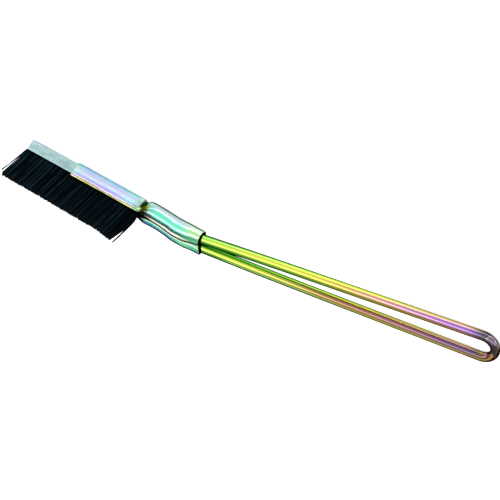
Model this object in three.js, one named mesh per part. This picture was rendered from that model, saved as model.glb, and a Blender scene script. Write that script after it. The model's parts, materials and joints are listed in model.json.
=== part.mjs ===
// Strip wire brush: a folded strip of wire bristles held in the pocket of a pressed sheet sleeve,
// carried by one round rod bent into a long hairpin handle that ends in a hanging loop.
// Millimetres, +Z up. +X points from the handle to the brush tip, Y = 0 is the middle plane,
// bristles point up, and the brush rests on its back: on the loop and on the channel's front end.
import * as THREE from 'three';

const RAD = Math.PI / 180;

// ---- handle rod ----
const ROD_RADIUS = 3.0;
const ROD_SIDES = 20;
const LOOP_RADIUS = 8.5;        // loop centreline
const LOOP_STEPS = 26;
const HANDLE_LENGTH = 175.5;    // sleeve mouth to loop centre
const LEG_TILT = 1.4 * RAD;     // each leg against the handle's axis
const MOUTH_HALF = 3.6;         // half the leg spacing at the mouth
const END_HALF = 3.35;          // half the leg spacing at the rod ends
const ROD_END = 10.5;           // rod ends, behind the crimp
const BEND = 11.46 * RAD;       // handle against head

// ---- sleeve ----
const SHEET = 0.8;
const POCKET_LENGTH = 48.6;     // crimp to front rim
const BODY_LENGTH = 42.4;       // crimp to mouth
const MOUTH_HEIGHT = 0.6;       // rod plane at the mouth, above the pocket axis
const RIM_RAKE = 0.13;          // slope of the cut front rim, back side forward

// ---- strip: distances ahead of the crimp, heights above the pocket axis ----
const STRIP_REAR = 1.9;
const STRIP_FRONT = 80.0;
const CHANNEL_HALF = 2.35;      // channel half width
const CHANNEL_WALL = 0.75;
const CHANNEL_BACK = -5.05;
const CHANNEL_EDGE = 3.4;
const CHANNEL_RAKE = 0.17;      // slope of the front end, back side forward
const CORE_RADIUS = 0.6;
const CORE_HEIGHT = -2.7;
const CORE_INSET = 0.1;         // core wire ends inside the channel's length

// ---- bristles ----
const TUFTS = 26;
const TUFT_GAP = 0.3;
const TUFT_HALF = 1.05;         // half the thickness of the bristle block
const TUFT_REAR_INSET = 0.3;    // the row of tufts starts this far ahead of the strip's rear
const TUFT_FRONT_INSET = 0.75;  // and ends this far behind its front
const TIP_FRONT = 28.2;         // line of the tips at the front
const TIP_REAR = 31.6;
const TIP_DROP = 0.3;           // block tops below that line
const LEAN_FRONT = 0.05;        // forward lean per mm of height above the channel's edge
const LEAN_REAR = 0.0;
const STRAY_RADIUS = 0.25;

// Head frame (along: ahead of the crimp, y, height: towards the bristle tips) to the handle frame,
// whose origin is the rod plane at the mouth and whose X runs along the handle.
function toHandle(along, y, height) {
  const ahead = along + BODY_LENGTH;
  const above = height - MOUTH_HEIGHT;
  const cos = Math.cos(BEND);
  const sin = Math.sin(BEND);
  return [ahead * cos + above * sin, y, -ahead * sin + above * cos];
}

// ---- closed solids from matching rings ----
function signedVolume(positions, indices) {
  const point = (i) => new THREE.Vector3().fromArray(positions, indices[i] * 3);
  let sum = 0;
  for (let i = 0; i < indices.length; i += 3) {
    sum += point(i).dot(point(i + 1).cross(point(i + 2)));
  }
  return sum / 6;
}

// Joins the rings with walls and caps both ends. endOutlines are the flat shapes of the first and
// last ring; points from holeStart on outline a hole, wound against the outer points.
function loft(rings, endOutlines, holeStart = rings[0].length) {
  const count = rings[0].length;
  const lastStart = (rings.length - 1) * count;
  const positions = rings.flat(2);
  const indices = [];

  for (let start = 0; start < lastStart; start += count) {
    for (let j = 0; j < count; j++) {
      let next = j + 1;
      if (next === holeStart) next = 0;
      else if (next === count) next = holeStart;
      const a = start + j;
      const b = start + next;
      indices.push(a, b, b + count, a, b + count, a + count);
    }
  }

  endOutlines.forEach((outline, end) => {
    const points = outline.map(([x, y]) => new THREE.Vector2(x, y));
    const outer = points.slice(0, holeStart);
    const holes = holeStart < count ? [points.slice(holeStart)] : [];
    // Triangles come out counterclockwise whichever way the outline runs.
    const reversed = (end === 0) !== THREE.ShapeUtils.isClockWise(outer);
    for (const face of THREE.ShapeUtils.triangulateShape(outer, holes)) {
      const [a, b, c] = face.map((i) => i + end * lastStart);
      if (reversed) indices.push(c, b, a);
      else indices.push(a, b, c);
    }
  });

  if (signedVolume(positions, indices) < 0) indices.reverse();
  const geometry = new THREE.BufferGeometry();
  geometry.setAttribute('position', new THREE.Float32BufferAttribute(positions, 3));
  geometry.setIndex(indices);
  return geometry;
}

// A round bar along a centreline; up sets how its facets are turned.
function bar(path, radius, sides, up = [0, 0, 1]) {
  const upward = new THREE.Vector3(...up);
  const points = path.map((point) => new THREE.Vector3(...point));
  const circle = [];
  for (let k = 0; k < sides; k++) {
    const angle = (k / sides) * 2 * Math.PI;
    circle.push([Math.cos(angle), Math.sin(angle)]);
  }
  const rings = points.map((point, i) => {
    const before = points[Math.max(i - 1, 0)];
    const after = points[Math.min(i + 1, points.length - 1)];
    const tangent = after.clone().sub(before).normalize();
    const sideways = new THREE.Vector3().crossVectors(upward, tangent).normalize();
    const normal = new THREE.Vector3().crossVectors(tangent, sideways);
    return circle.map(([cos, sin]) => point.clone()
      .addScaledVector(sideways, radius * sin)
      .addScaledVector(normal, -radius * cos)
      .toArray());
  });
  return loft(rings, [circle, circle]);
}

// Smooth interpolation, without overshoot, in rows of [place, value, value, ...]; returns the values.
function interpolate(rows, place) {
  const last = rows.length - 1;
  if (place <= rows[0][0]) return rows[0].slice(1);
  if (place >= rows[last][0]) return rows[last].slice(1);

  const i = rows.findIndex((row) => place <= row[0]) - 1;
  const gap = rows[i + 1][0] - rows[i][0];
  const t = (place - rows[i][0]) / gap;
  const t2 = t * t;
  const t3 = t2 * t;

  // Harmonic mean of the slopes on both sides of a row, level at peaks and at the table's ends.
  const slope = (row, column) => {
    if (row === 0 || row === last) return 0;
    const rise = (from) => (rows[from + 1][column] - rows[from][column])
      / (rows[from + 1][0] - rows[from][0]);
    const before = rise(row - 1);
    const after = rise(row);
    return before * after <= 0 ? 0 : (2 * before * after) / (before + after);
  };
  return rows[i].slice(1).map((value, k) => {
    const column = k + 1;
    return (2 * t3 - 3 * t2 + 1) * value
      + (t3 - 2 * t2 + t) * gap * slope(i, column)
      + (-2 * t3 + 3 * t2) * rows[i + 1][column]
      + (t3 - t2) * gap * slope(i + 1, column);
  });
}

// ---- sleeve: one sheet, bent to a pocket in front and to a tube round the two rods behind ----
// Half outline of the sheet's middle. Columns: distance behind the crimp; back height at the
// centre, back height at the side; half width, back corner radius; top height, upper corner radius;
// inner corner y, its radius; cut edge y, cut edge height.
const POCKET_SECTION = [-5.65, -5.65, 2.95, 1.1, 5.1, 0.66, 1.62, 0.64, 1.62, 4.3];
const SLEEVE_SECTIONS = [
  [-POCKET_LENGTH, ...POCKET_SECTION],
  [-1.75, ...POCKET_SECTION],
  [-0.7, -5.5, -5.5, 2.45, 1.2, 5.2, 0.66, 1.5, 0.5, 1.5, 4.4],
  [0.7, -5.55, -5.55, 3.5, 2.0, 5.1, 0.9, 1.5, 0.6, 1.45, 4.3],
  [2.4, -5.6, -5.6, 5.0, 3.0, 5.1, 2.0, 1.45, 0.7, 1.35, 4.3],
  [4.5, -5.55, -5.55, 6.3, 4.0, 4.9, 3.4, 1.4, 0.7, 1.1, 4.1],
  [8.0, -5.45, -5.45, 6.95, 4.7, 4.7, 4.5, 1.1, 0.6, 0.55, 4.05],
  [13.0, -5.2, -5.2, 7.1, 4.9, 4.8, 4.9, 0.95, 0.6, 0.42, 4.15],
  [18.0, -4.7, -4.7, 7.2, 4.9, 5.4, 4.9, 0.9, 0.5, 0.4, 4.8],
  [25.0, -4.3, -4.3, 7.35, 5.1, 6.5, 5.1, 0.9, 0.5, 0.4, 5.9],
  [31.0, -4.2, -4.2, 7.45, 4.8, 6.4, 4.8, 1.1, 0.6, 0.4, 5.7],
  [37.0, -3.6, -3.75, 7.6, 4.3, 5.2, 4.3, 1.6, 0.9, 0.5, 3.9],
  [BODY_LENGTH, -2.9, -3.3, 7.75, 3.72, 4.2, 3.72, 2.0, 1.1, 0.6, 2.5],
];
// Where the sleeve's rings lie, behind the crimp.
const SLEEVE_STATIONS = [
  -POCKET_LENGTH, -24, -1.75, -1.2, -0.7, 0, 0.7, 1.5, 2.4, 3.4, 4.5, 6, 8,
  10.5, 13, 15.5, 18, 21.5, 25, 28, 31, 34, 37, 39.7, BODY_LENGTH,
];
const MAX_CORNER_CUT = 0.98;    // share of a side that a rounded corner may use up

// Rounds the corners of an open line. Corners are [x, y] or [x, y, radius, steps].
function roundCorners(corners) {
  return corners.flatMap(([x, y, radius, steps], i) => {
    if (!radius) return [[x, y]];
    const corner = new THREE.Vector2(x, y);
    const toBefore = new THREE.Vector2().fromArray(corners[i - 1]).sub(corner);
    const toAfter = new THREE.Vector2().fromArray(corners[i + 1]).sub(corner);
    const room = MAX_CORNER_CUT * Math.min(toBefore.length(), toAfter.length());
    toBefore.normalize();
    toAfter.normalize();

    const halfAngle = toBefore.angleTo(toAfter) / 2;
    const cut = Math.min(radius / Math.tan(halfAngle), room);
    const fitted = cut * Math.tan(halfAngle);
    const middle = toBefore.clone().add(toAfter).normalize();
    const centre = corner.clone().addScaledVector(middle, fitted / Math.sin(halfAngle));
    const angleOf = (direction) => {
      const arcEnd = corner.clone().addScaledVector(direction, cut).sub(centre);
      return Math.atan2(arcEnd.y, arcEnd.x);
    };
    const start = angleOf(toBefore);
    let sweep = angleOf(toAfter) - start;
    if (sweep > Math.PI) sweep -= 2 * Math.PI;
    if (sweep < -Math.PI) sweep += 2 * Math.PI;

    const arc = [];
    for (let k = 0; k <= steps; k++) {
      const angle = start + (sweep * k) / steps;
      arc.push([centre.x + fitted * Math.cos(angle), centre.y + fitted * Math.sin(angle)]);
    }
    return arc;
  });
}

function sleeveOutline(station) {
  const [
    centreBack, sideBack, halfWidth, backRadius, top, topRadius,
    innerY, innerRadius, edgeY, edgeHeight,
  ] = interpolate(SLEEVE_SECTIONS, station);
  const half = roundCorners([
    [0, centreBack],
    [halfWidth, sideBack, backRadius, 5],
    [halfWidth, top, topRadius, 5],
    [innerY, top, innerRadius, 3],
    [edgeY, edgeHeight],
  ]);
  const middle = half.map(([y, height]) => [-y, height]).reverse().concat(half.slice(1));
  const offset = (distance) => middle.map(([y, height], i) => {
    const before = middle[Math.max(i - 1, 0)];
    const after = middle[Math.min(i + 1, middle.length - 1)];
    const dy = after[0] - before[0];
    const dh = after[1] - before[1];
    const length = Math.hypot(dy, dh);
    return [y - (distance * dh) / length, height + (distance * dy) / length];
  });
  return offset(-SHEET / 2).concat(offset(SHEET / 2).reverse());
}

function sleeve() {
  const outlines = SLEEVE_STATIONS.map(sleeveOutline);
  const rings = outlines.map((outline, i) => {
    const rake = i === 0 ? RIM_RAKE : 0;
    return outline.map(([y, height]) => toHandle(-SLEEVE_STATIONS[i] - rake * height, y, height));
  });
  return loft(rings, [outlines[0], outlines[outlines.length - 1]]);
}

// ---- handle: one rod, both ends inside the sleeve ----
// Rod centreline inside the sleeve: distance behind the crimp, height.
const ROD_HEIGHTS = [
  [ROD_END, -0.15], [13, 0.0], [18, 0.45], [25, 1.1], [32, 1.3], [37, 1.2],
  [BODY_LENGTH, MOUTH_HEIGHT],
];
const ROD_STATIONS = [ROD_END, 13, 16, 19, 22, 25, 28, 31, 34, 37, 39.5, BODY_LENGTH];
// Legs behind the mouth: x, how far the leg lies inside its straight line.
const LEG_PINCH = [[-10, 0.47], [-20, 0.33], [-32, 0.18], [-46, 0.06], [-65, 0]];

function rodPath() {
  const inside = ROD_STATIONS.map((station) => {
    const [height] = interpolate(ROD_HEIGHTS, station);
    const t = (station - ROD_END) / (BODY_LENGTH - ROD_END);
    return toHandle(-station, END_HALF + (MOUTH_HALF - END_HALF) * t, height);
  });
  // The straight leg line touches the loop where the loop's arc begins.
  const touchX = -HANDLE_LENGTH + LOOP_RADIUS * Math.sin(LEG_TILT);
  const touchY = LOOP_RADIUS * Math.cos(LEG_TILT);
  const outside = LEG_PINCH.map(([x, pinch]) => [
    x, touchY - (x - touchX) * Math.tan(LEG_TILT) - pinch, 0,
  ]);
  const leg = inside.concat(outside);

  const loop = [];
  const start = Math.PI / 2 - LEG_TILT;
  const sweep = Math.PI + 2 * LEG_TILT;
  for (let i = 0; i <= LOOP_STEPS; i++) {
    const angle = start + (sweep * i) / LOOP_STEPS;
    loop.push([-HANDLE_LENGTH + LOOP_RADIUS * Math.cos(angle), LOOP_RADIUS * Math.sin(angle), 0]);
  }
  return leg.concat(loop, leg.map(([x, y, z]) => [x, -y, z]).reverse());
}

// ---- strip: channel, core wire and the bristles folded over it ----
function channel() {
  const corner = 0.45;          // rounding of the outer back corners
  const cornerMiddle = 0.13;    // inset of the rounding's middle point
  const outer = CHANNEL_HALF;
  const inner = CHANNEL_HALF - CHANNEL_WALL;
  const upperOuter = outer - 0.18;
  const upperInner = inner - 0.12;
  const step = CHANNEL_BACK + 2.9;  // the walls step inwards above this height
  const stepTop = step + 0.35;
  const half = [
    [outer - corner, CHANNEL_BACK],
    [outer - cornerMiddle, CHANNEL_BACK + cornerMiddle],
    [outer, CHANNEL_BACK + corner],
    [outer, step],
    [upperOuter, stepTop],
    [upperOuter, CHANNEL_EDGE],
    [upperInner, CHANNEL_EDGE],
    [upperInner, stepTop],
    [inner, step],
    [inner, CHANNEL_BACK + CHANNEL_WALL],
  ];
  const outline = half.concat(half.map(([y, height]) => [-y, height]).reverse());
  const ring = (along, rake) => outline
    .map(([y, height]) => toHandle(along - rake * height, y, height));
  return loft([ring(STRIP_REAR, 0), ring(STRIP_FRONT, CHANNEL_RAKE)], [outline, outline]);
}

function coreWire() {
  const path = [STRIP_REAR + CORE_INSET, STRIP_FRONT - CORE_INSET]
    .map((along) => toHandle(along, 0, CORE_HEIGHT));
  return bar(path, CORE_RADIUS, 10);
}

// One pitch of folded wires: a round back under the core wire, then a straight leaning block.
function tuft(k) {
  const foldSteps = 6;
  const foldDepth = TUFT_HALF * 0.98;
  const holeSides = 8;
  const holeRadius = CORE_RADIUS + 0.15;
  const flare = 0.12;           // extra half thickness at the tips
  const flareStart = CHANNEL_EDGE + 0.6;
  const rowStart = STRIP_REAR + TUFT_REAR_INSET;
  const pitch = (STRIP_FRONT - TUFT_FRONT_INSET - rowStart) / TUFTS;
  const rear = rowStart + k * pitch + TUFT_GAP / 2;
  const front = rear + pitch - TUFT_GAP;
  const top = TIP_REAR + ((TIP_FRONT - TIP_REAR) * (k + 0.5)) / TUFTS - TIP_DROP;

  const outer = [];
  for (let i = 0; i <= foldSteps; i++) {
    const angle = Math.PI + (Math.PI * i) / foldSteps;
    outer.push([TUFT_HALF * Math.cos(angle), CORE_HEIGHT + foldDepth * Math.sin(angle)]);
  }
  outer.push(
    [TUFT_HALF, flareStart], [TUFT_HALF + flare, top],
    [-TUFT_HALF - flare, top], [-TUFT_HALF, flareStart],
  );
  const hole = [];
  for (let i = holeSides - 1; i >= 0; i--) {
    const angle = (i / holeSides) * 2 * Math.PI;
    hole.push([holeRadius * Math.cos(angle), CORE_HEIGHT + holeRadius * Math.sin(angle)]);
  }

  const outline = outer.concat(hole);
  const ring = (along) => {
    const t = (along - STRIP_REAR) / (STRIP_FRONT - STRIP_REAR);
    const lean = LEAN_REAR + (LEAN_FRONT - LEAN_REAR) * t;
    return outline.map(([y, height]) => (
      toHandle(along + lean * Math.max(0, height - CHANNEL_EDGE), y, height)));
  };
  return loft([ring(rear), ring(front)], [outline, outline], outer.length);
}

// Single wires in the head frame: name, lower end, upper end.
const STRAY_WIRES = [
  ['front_1', [STRIP_FRONT - 0.4, 0.6, -1.4], [STRIP_FRONT + 2.9, 0.8, TIP_FRONT - 2.6]],
  ['front_2', [STRIP_FRONT - 0.4, -0.6, -1.4], [STRIP_FRONT + 2.0, -0.6, TIP_FRONT - 1.0]],
  ['rear', [STRIP_REAR + 0.02, 0, 0.5], [STRIP_REAR - 2.9, 0, TIP_REAR + 1.3]],
];

function strayWire(from, to) {
  return bar([toHandle(...from), toHandle(...to)], STRAY_RADIUS, 6, [0, 1, 0]);
}

// ---- materials ----
const FINISHES = {
  plated: { color: 0xa9c77a, roughness: 0.22, metalness: 1 },
  rod: { color: 0xb79a5e, roughness: 0.2, metalness: 1 },
  zinc: { color: 0xa8c4c4, roughness: 0.4, metalness: 0.9 },
  wire: { color: 0x10181c, roughness: 0.45, metalness: 0.8 },
};

// ---- assembly ----
const brush = new THREE.Group();

function add(name, geometry, finish) {
  const mesh = new THREE.Mesh(geometry, new THREE.MeshStandardMaterial(FINISHES[finish]));
  mesh.name = name;
  brush.add(mesh);
  return mesh;
}

const rodMesh = add('handle_rod', bar(rodPath(), ROD_RADIUS, ROD_SIDES), 'rod');
add('sleeve', sleeve(), 'plated');
const channelMesh = add('strip_channel', channel(), 'zinc');
add('core_wire', coreWire(), 'zinc');
for (let k = 0; k < TUFTS; k++) {
  add(`bristle_tuft_${String(k + 1).padStart(2, '0')}`, tuft(k), 'wire');
}
for (const [name, from, to] of STRAY_WIRES) {
  add(`stray_wire_${name}`, strayWire(from, to), 'wire');
}

// Lowest point of a mesh once its +X end is raised by tilt.
function lowest(mesh, tilt) {
  const points = mesh.geometry.attributes.position;
  let low = Infinity;
  for (let i = 0; i < points.count; i++) {
    low = Math.min(low, Math.sin(tilt) * points.getX(i) + Math.cos(tilt) * points.getZ(i));
  }
  return low;
}

// Halves the range of tilts until the loop and the channel's front end touch one level plane.
function restingTilt() {
  let low = 0;
  let high = 12 * RAD;
  for (let i = 0; i < 50; i++) {
    const tilt = (low + high) / 2;
    if (lowest(channelMesh, tilt) < lowest(rodMesh, tilt)) low = tilt;
    else high = tilt;
  }
  return (low + high) / 2;
}

brush.rotation.y = -restingTilt();
const group = new THREE.Group();
group.add(brush);

// Centre the brush along X and stand it on Z = 0.
group.updateMatrixWorld(true);
const box = new THREE.Box3().setFromObject(group, true);
group.position.set(-(box.min.x + box.max.x) / 2, 0, -box.min.z);

export default group;
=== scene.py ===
"""A wire brush: a plated rod bent into a looped handle, a folded sheet sleeve crimped on it,
and a zinc strip of steel bristles held in the sleeve's pocket.

The handle and the head lie in the plane y = 0, with the bristles pointing up. The head is
inclined to the handle by BEND. The CAD pieces are in metres; the sizes below are in mm.
Head frame: origin on the pocket's axis at the crimp, coordinates (along, side, height),
along towards the brush tip, side along +Y, height towards the bristle tips.
Handle frame: origin at the sleeve's mouth, x along the handle towards the head, the same
side, and z square to both. "Back" is the side away from the bristle tips.
"""
import json
import math
import bpy
import numpy as np
from mathutils import Matrix, Vector


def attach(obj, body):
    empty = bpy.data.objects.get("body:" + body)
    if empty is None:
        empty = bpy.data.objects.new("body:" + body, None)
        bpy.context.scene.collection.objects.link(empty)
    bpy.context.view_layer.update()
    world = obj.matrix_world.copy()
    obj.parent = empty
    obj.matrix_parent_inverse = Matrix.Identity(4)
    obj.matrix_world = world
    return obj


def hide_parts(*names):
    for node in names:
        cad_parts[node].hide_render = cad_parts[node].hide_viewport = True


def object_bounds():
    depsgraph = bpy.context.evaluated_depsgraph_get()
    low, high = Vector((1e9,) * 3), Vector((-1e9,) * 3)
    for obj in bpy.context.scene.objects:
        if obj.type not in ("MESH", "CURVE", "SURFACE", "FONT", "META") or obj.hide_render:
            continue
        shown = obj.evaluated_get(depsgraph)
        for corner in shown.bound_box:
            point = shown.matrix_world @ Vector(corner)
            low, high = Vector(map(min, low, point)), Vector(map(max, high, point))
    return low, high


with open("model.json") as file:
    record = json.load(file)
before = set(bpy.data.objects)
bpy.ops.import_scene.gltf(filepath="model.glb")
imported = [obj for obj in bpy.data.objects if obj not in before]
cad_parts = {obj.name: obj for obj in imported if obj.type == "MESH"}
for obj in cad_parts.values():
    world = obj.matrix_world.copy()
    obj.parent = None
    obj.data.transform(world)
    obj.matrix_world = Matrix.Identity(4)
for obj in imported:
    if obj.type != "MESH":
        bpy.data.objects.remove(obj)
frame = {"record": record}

cad_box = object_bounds()
rng = np.random.default_rng(20261116)

# ---------------------------------------------------------------- frames
MM = 1000.0                                    # mm in a metre
slide = next(j for j in frame["record"]["behaviour"]["joints"] if j["name"] == "strip_slide")
CRIMP = np.array(slide["pos_m"], float) * MM
TIPWARD = np.array(slide["axis"], float)
TIPWARD /= np.linalg.norm(TIPWARD)
BRISTLEWARD = np.array([-TIPWARD[2], 0.0, TIPWARD[0]])
BEND = math.radians(11.46)
HANDLE_X = TIPWARD * math.cos(BEND) + BRISTLEWARD * math.sin(BEND)
HANDLE_Z = -TIPWARD * math.sin(BEND) + BRISTLEWARD * math.cos(BEND)
BODY = 42.4                                    # crimp to the sleeve's mouth
POCKET = 48.6                                  # crimp to the pocket's front rim
MOUTH_HEIGHT = 0.6                             # rod plane at the mouth, in the head frame
MOUTH = CRIMP - BODY * TIPWARD + MOUTH_HEIGHT * BRISTLEWARD


def head_to_world(points):
    """Head-frame points in mm -> world points in metres."""
    points = np.asarray(points, float)
    placed = CRIMP + points[..., 0:1] * TIPWARD + points[..., 2:3] * BRISTLEWARD
    placed[..., 1] += points[..., 1]
    return placed / MM


def handle_to_head(x, y, z):
    cos_bend, sin_bend = math.cos(BEND), math.sin(BEND)
    return (-BODY + x * cos_bend - z * sin_bend, y, MOUTH_HEIGHT + x * sin_bend + z * cos_bend)


# ---------------------------------------------------------------- mesh helpers
def place(part, verts, faces, attributes, sharp, rides, slot, suffix="skin"):
    """Make the mesh that stands in for a CAD part; edges over `sharp` degrees stay crisp."""
    name = f"{part}_{suffix}"
    mesh = bpy.data.meshes.new(name)
    mesh.from_pydata([tuple(v) for v in verts], [], [tuple(f) for f in faces])
    mesh.validate(verbose=False)
    mesh.update()
    mesh.polygons.foreach_set("use_smooth", [True] * len(mesh.polygons))
    mesh.set_sharp_from_angle(angle=math.radians(sharp))
    for key, values in attributes.items():
        attribute = mesh.attributes.new(key, "FLOAT", "POINT")
        attribute.data.foreach_set("value", np.asarray(values, np.float32))
    piece = bpy.data.objects.new(name, mesh)
    bpy.context.collection.objects.link(piece)
    mesh.materials.append(MATERIALS[slot])
    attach(piece, rides)
    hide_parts(part)


def ring_quads(rings, count):
    """Quads between successive closed rings of `count` points."""
    quads = []
    for i in range(rings - 1):
        for j in range(count):
            near, after = i * count + j, i * count + (j + 1) % count
            quads.append((near, after, after + count, near + count))
    return quads


def turned_out(verts, quads, ends):
    """Side quads and end faces together, facing out of the closed piece."""
    corner = [np.asarray(verts)[column] for column in np.array(quads).T]
    volume = (np.einsum("ij,ij->i", corner[0], np.cross(corner[1], corner[2])).sum()
              + np.einsum("ij,ij->i", corner[0], np.cross(corner[2], corner[3])).sum())
    faces = quads + ends
    return faces if volume > 0 else [tuple(reversed(f)) for f in faces]


def tube(path, radius, sides, up, domed=True):
    """A closed round bar along a path, all in metres, with low pointed or flat ends."""
    path = np.asarray(path, float)
    count = len(path)
    tangent = np.zeros_like(path)
    tangent[1:-1] = path[2:] - path[:-2]
    tangent[0], tangent[-1] = path[1] - path[0], path[-1] - path[-2]
    tangent /= np.linalg.norm(tangent, axis=1)[:, None]
    across = np.cross(np.array(up, float), tangent)
    across /= np.linalg.norm(across, axis=1)[:, None]
    third = np.cross(tangent, across)
    radii = np.broadcast_to(np.asarray(radius, float), (count,))
    angle = np.arange(sides) * 2 * math.pi / sides
    ring = (across[:, None, :] * np.sin(angle)[None, :, None]
            - third[:, None, :] * np.cos(angle)[None, :, None])
    verts = (path[:, None, :] + radii[:, None, None] * ring).reshape(-1, 3)
    last = (count - 1) * sides
    ends = []
    if domed:
        rise = 0.25                            # height of the point, as a share of the radius
        verts = np.vstack([verts, path[0] - tangent[0] * radii[0] * rise,
                           path[-1] + tangent[-1] * radii[-1] * rise])
        first_tip = count * sides
        for j in range(sides):
            ends.append((first_tip, (j + 1) % sides, j))
            ends.append((first_tip + 1, last + j, last + (j + 1) % sides))
    else:
        ends.append(tuple(range(sides - 1, -1, -1)))
        ends.append(tuple(last + j for j in range(sides)))
    return verts, turned_out(verts, ring_quads(count, sides), ends)


def catmull(points, per_span):
    """Catmull-Rom curve through the points."""
    knots = np.asarray(points, float)
    knots = np.vstack([2 * knots[0] - knots[1], knots, 2 * knots[-1] - knots[-2]])
    curve = []
    for i in range(1, len(knots) - 2):
        before, start, end, after = knots[i - 1:i + 3]
        for k in range(per_span):
            t = k / per_span
            curve.append(0.5 * ((2 * start) + (-before + end) * t
                                + (2 * before - 5 * start + 4 * end - after) * t * t
                                + (-before + 3 * start - 3 * end + after) * t ** 3))
    curve.append(knots[-2])
    return np.array(curve)


def interpolate_rows(rows, x):
    """Monotone cubic through rows of (x, values...)."""
    rows = np.asarray(rows, float)
    stations, values = rows[:, 0], rows[:, 1:]
    if x <= stations[0]:
        return values[0]
    if x >= stations[-1]:
        return values[-1]
    i = int(np.searchsorted(stations, x, side="right") - 1)
    span = stations[i + 1] - stations[i]
    t = (x - stations[i]) / span

    def slope(k):
        if k == 0 or k == len(stations) - 1:
            return np.zeros(values.shape[1])
        left = (values[k] - values[k - 1]) / (stations[k] - stations[k - 1])
        right = (values[k + 1] - values[k]) / (stations[k + 1] - stations[k])
        total = np.where(left + right == 0, 1.0, left + right)
        return np.where(left * right <= 0, 0.0, 2 * left * right / total)
    t2, t3 = t * t, t ** 3
    return ((2 * t3 - 3 * t2 + 1) * values[i] + (t3 - 2 * t2 + t) * span * slope(i)
            + (-2 * t3 + 3 * t2) * values[i + 1] + (t3 - t2) * span * slope(i + 1))


def unit(x):
    return np.clip(x, 0, 1)


def smooth(x):
    return x * x * (3 - 2 * x)


# ---------------------------------------------------------------- node helpers
def srgb(*levels):
    """sRGB levels, 0 to 255 -> linear colour."""
    def linear(level):
        return level / 12.92 if level <= 0.04045 else ((level + 0.055) / 1.055) ** 2.4
    return tuple(linear(level / 255) for level in levels)


class Nodes:
    """Builds the node tree of a material or a world. Colours are sRGB levels, 0 to 255."""

    def __init__(self, owner):
        owner.use_nodes = True
        self.owner = owner
        self.tree = owner.node_tree
        self.tree.nodes.clear()

    def put(self, socket, value):
        if isinstance(value, bpy.types.NodeSocket):
            self.tree.links.new(value, socket)
        else:
            socket.default_value = value

    def add(self, kind, inputs=None, **properties):
        node = self.tree.nodes.new(kind)
        for key, value in properties.items():
            setattr(node, key, value)
        for key, value in (inputs or {}).items():
            self.put(node.inputs[key], value)
        return node

    def calc(self, operation, *values, clamp=False):
        inputs = dict(enumerate(values))
        return self.add("ShaderNodeMath", inputs, operation=operation, use_clamp=clamp).outputs[0]

    def plus(self, first, second, clamp=False):
        return self.calc("ADD", first, second, clamp=clamp)

    def times(self, first, *others):
        for other in others:
            first = self.calc("MULTIPLY", first, other)
        return first

    def inverse(self, value):
        return self.calc("SUBTRACT", 1.0, value)

    def scaled(self, value, gain, base=None):
        value = self.times(value, gain)
        return value if base is None else self.plus(value, base)

    def centred(self, noise, swing):
        """Noise moved to vary about zero."""
        return self.times(self.calc("SUBTRACT", noise, 0.5), swing)

    def vector(self, operation, inputs):
        node = self.add("ShaderNodeVectorMath", inputs, operation=operation)
        return node.outputs["Value" if operation == "DOT_PRODUCT" else "Vector"]

    def remap(self, value, source, target=(0.0, 1.0), **properties):
        return self.add("ShaderNodeMapRange", {
            "Value": value, "From Min": source[0], "From Max": source[1],
            "To Min": target[0], "To Max": target[1]}, **properties).outputs["Result"]

    def mask(self, value, off, on):
        """Smooth step: 0 where the value is `off`, 1 where it is `on`."""
        return self.remap(value, (off, on), interpolation_type="SMOOTHSTEP")

    def ramp(self, value, stops, mode="LINEAR"):
        """Ramp of (position, linear colour)."""
        node = self.add("ShaderNodeValToRGB", {0: value})
        node.color_ramp.interpolation = mode
        elements = node.color_ramp.elements
        while len(elements) < len(stops):
            elements.new(0.5)
        for element, (position, colour) in zip(elements, stops):
            element.position = position
            element.color = (*colour, 1.0)
        return node.outputs[0]

    def tints(self, value, rows):
        """Ramp of (position, red, green, blue)."""
        return self.ramp(value, [(position, srgb(*levels)) for position, *levels in rows])

    def paint(self, base, over, mask, share=None, blend="MIX"):
        """Lay a colour over another through a mask, at the given share."""
        node = self.add("ShaderNodeMix", data_type="RGBA", blend_type=blend)
        self.put(node.inputs[0], mask if share is None else self.times(mask, share))
        for socket, colour in ((node.inputs[6], base), (node.inputs[7], over)):
            is_socket = isinstance(colour, bpy.types.NodeSocket)
            self.put(socket, colour if is_socket else (*srgb(*colour), 1.0))
        return node.outputs[2]

    def noise(self, place, scale, detail, rough):
        return self.add("ShaderNodeTexNoise", {
            "Vector": place, "Scale": scale, "Detail": detail, "Roughness": rough},
            noise_dimensions="3D").outputs["Fac"]

    def coords(self, stretch=(1, 1, 1), turn=(0, 0, 0)):
        source = self.add("ShaderNodeTexCoord").outputs["Object"]
        return self.add("ShaderNodeMapping", {
            "Vector": source, "Scale": stretch, "Rotation": turn}).outputs["Vector"]

    def attr(self, name):
        return self.add("ShaderNodeAttribute", attribute_name=name).outputs["Fac"]

    def bump(self, height, strength, distance, under=None):
        node = self.add("ShaderNodeBump", {
            "Strength": strength, "Distance": distance, "Height": height})
        if under is not None:
            self.put(node.inputs["Normal"], under)
        return node.outputs[0]

    def surface(self, colour, rough, normal, metallic=1.0, **extra):
        inputs = {"Base Color": colour, "Metallic": metallic, "Roughness": rough,
                  "Normal": normal}
        inputs.update({key.replace("_", " "): value for key, value in extra.items()})
        shader = self.add("ShaderNodeBsdfPrincipled", inputs)
        self.add("ShaderNodeOutputMaterial", {0: shader.outputs[0]})
        return self.owner


def new_material(name):
    return Nodes(bpy.data.materials.new(name))


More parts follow.
